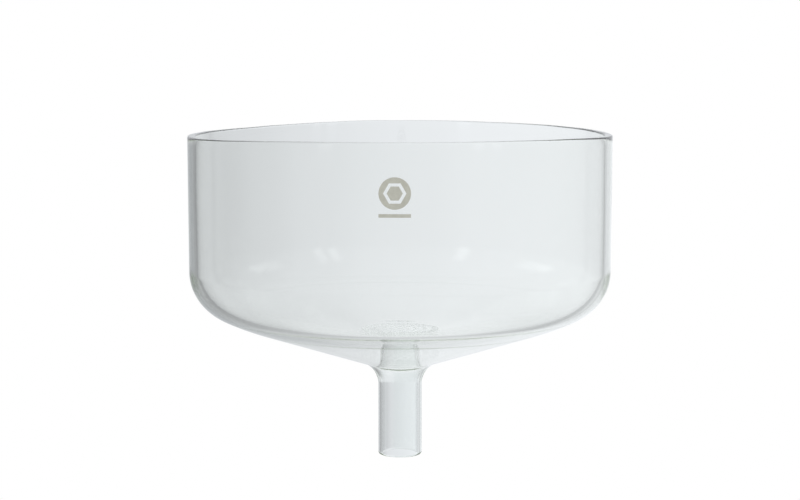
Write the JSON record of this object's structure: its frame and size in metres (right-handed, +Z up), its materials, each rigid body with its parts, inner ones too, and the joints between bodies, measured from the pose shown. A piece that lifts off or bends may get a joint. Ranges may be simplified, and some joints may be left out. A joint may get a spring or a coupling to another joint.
{
  "type": "buchner funnel",
  "caption": "Clear glass Buchner funnel: wide round bowl with a shallow conical floor, a short stem for a stopper, and a small loose perforated plate over the outlet.",
  "frame": {"origin": "on the funnel's axis, half way up the straight length of the stem, where a stopper grips it", "axes": "+Z up along the funnel's axis, from the stem to the rim; the enamel mark faces -Y, and +X is to its right"},
  "size_m": [0.2, 0.2001, 0.1562],
  "materials": {
    "clear_glass": "clear borosilicate glass, fire-polished rim",
    "stem_glass": "clear borosilicate tube, fire-polished outlet",
    "plate_glass": "clear borosilicate plate, drilled and fire-polished",
    "enamel": "thin fired enamel print, warm grey"
  },
  "bodies": {
    "funnel": {"bowl": "clear_glass", "stem": "stem_glass", "enamel_mark": "enamel"},
    "plate": {"perforated_plate": "plate_glass"}
  },
  "joints": [
    {"name": "plate_lift", "type": "slide", "parent": "funnel", "child": "plate", "axis": [0, 0, 1], "range_m": [0, 0.12]}
  ]
}
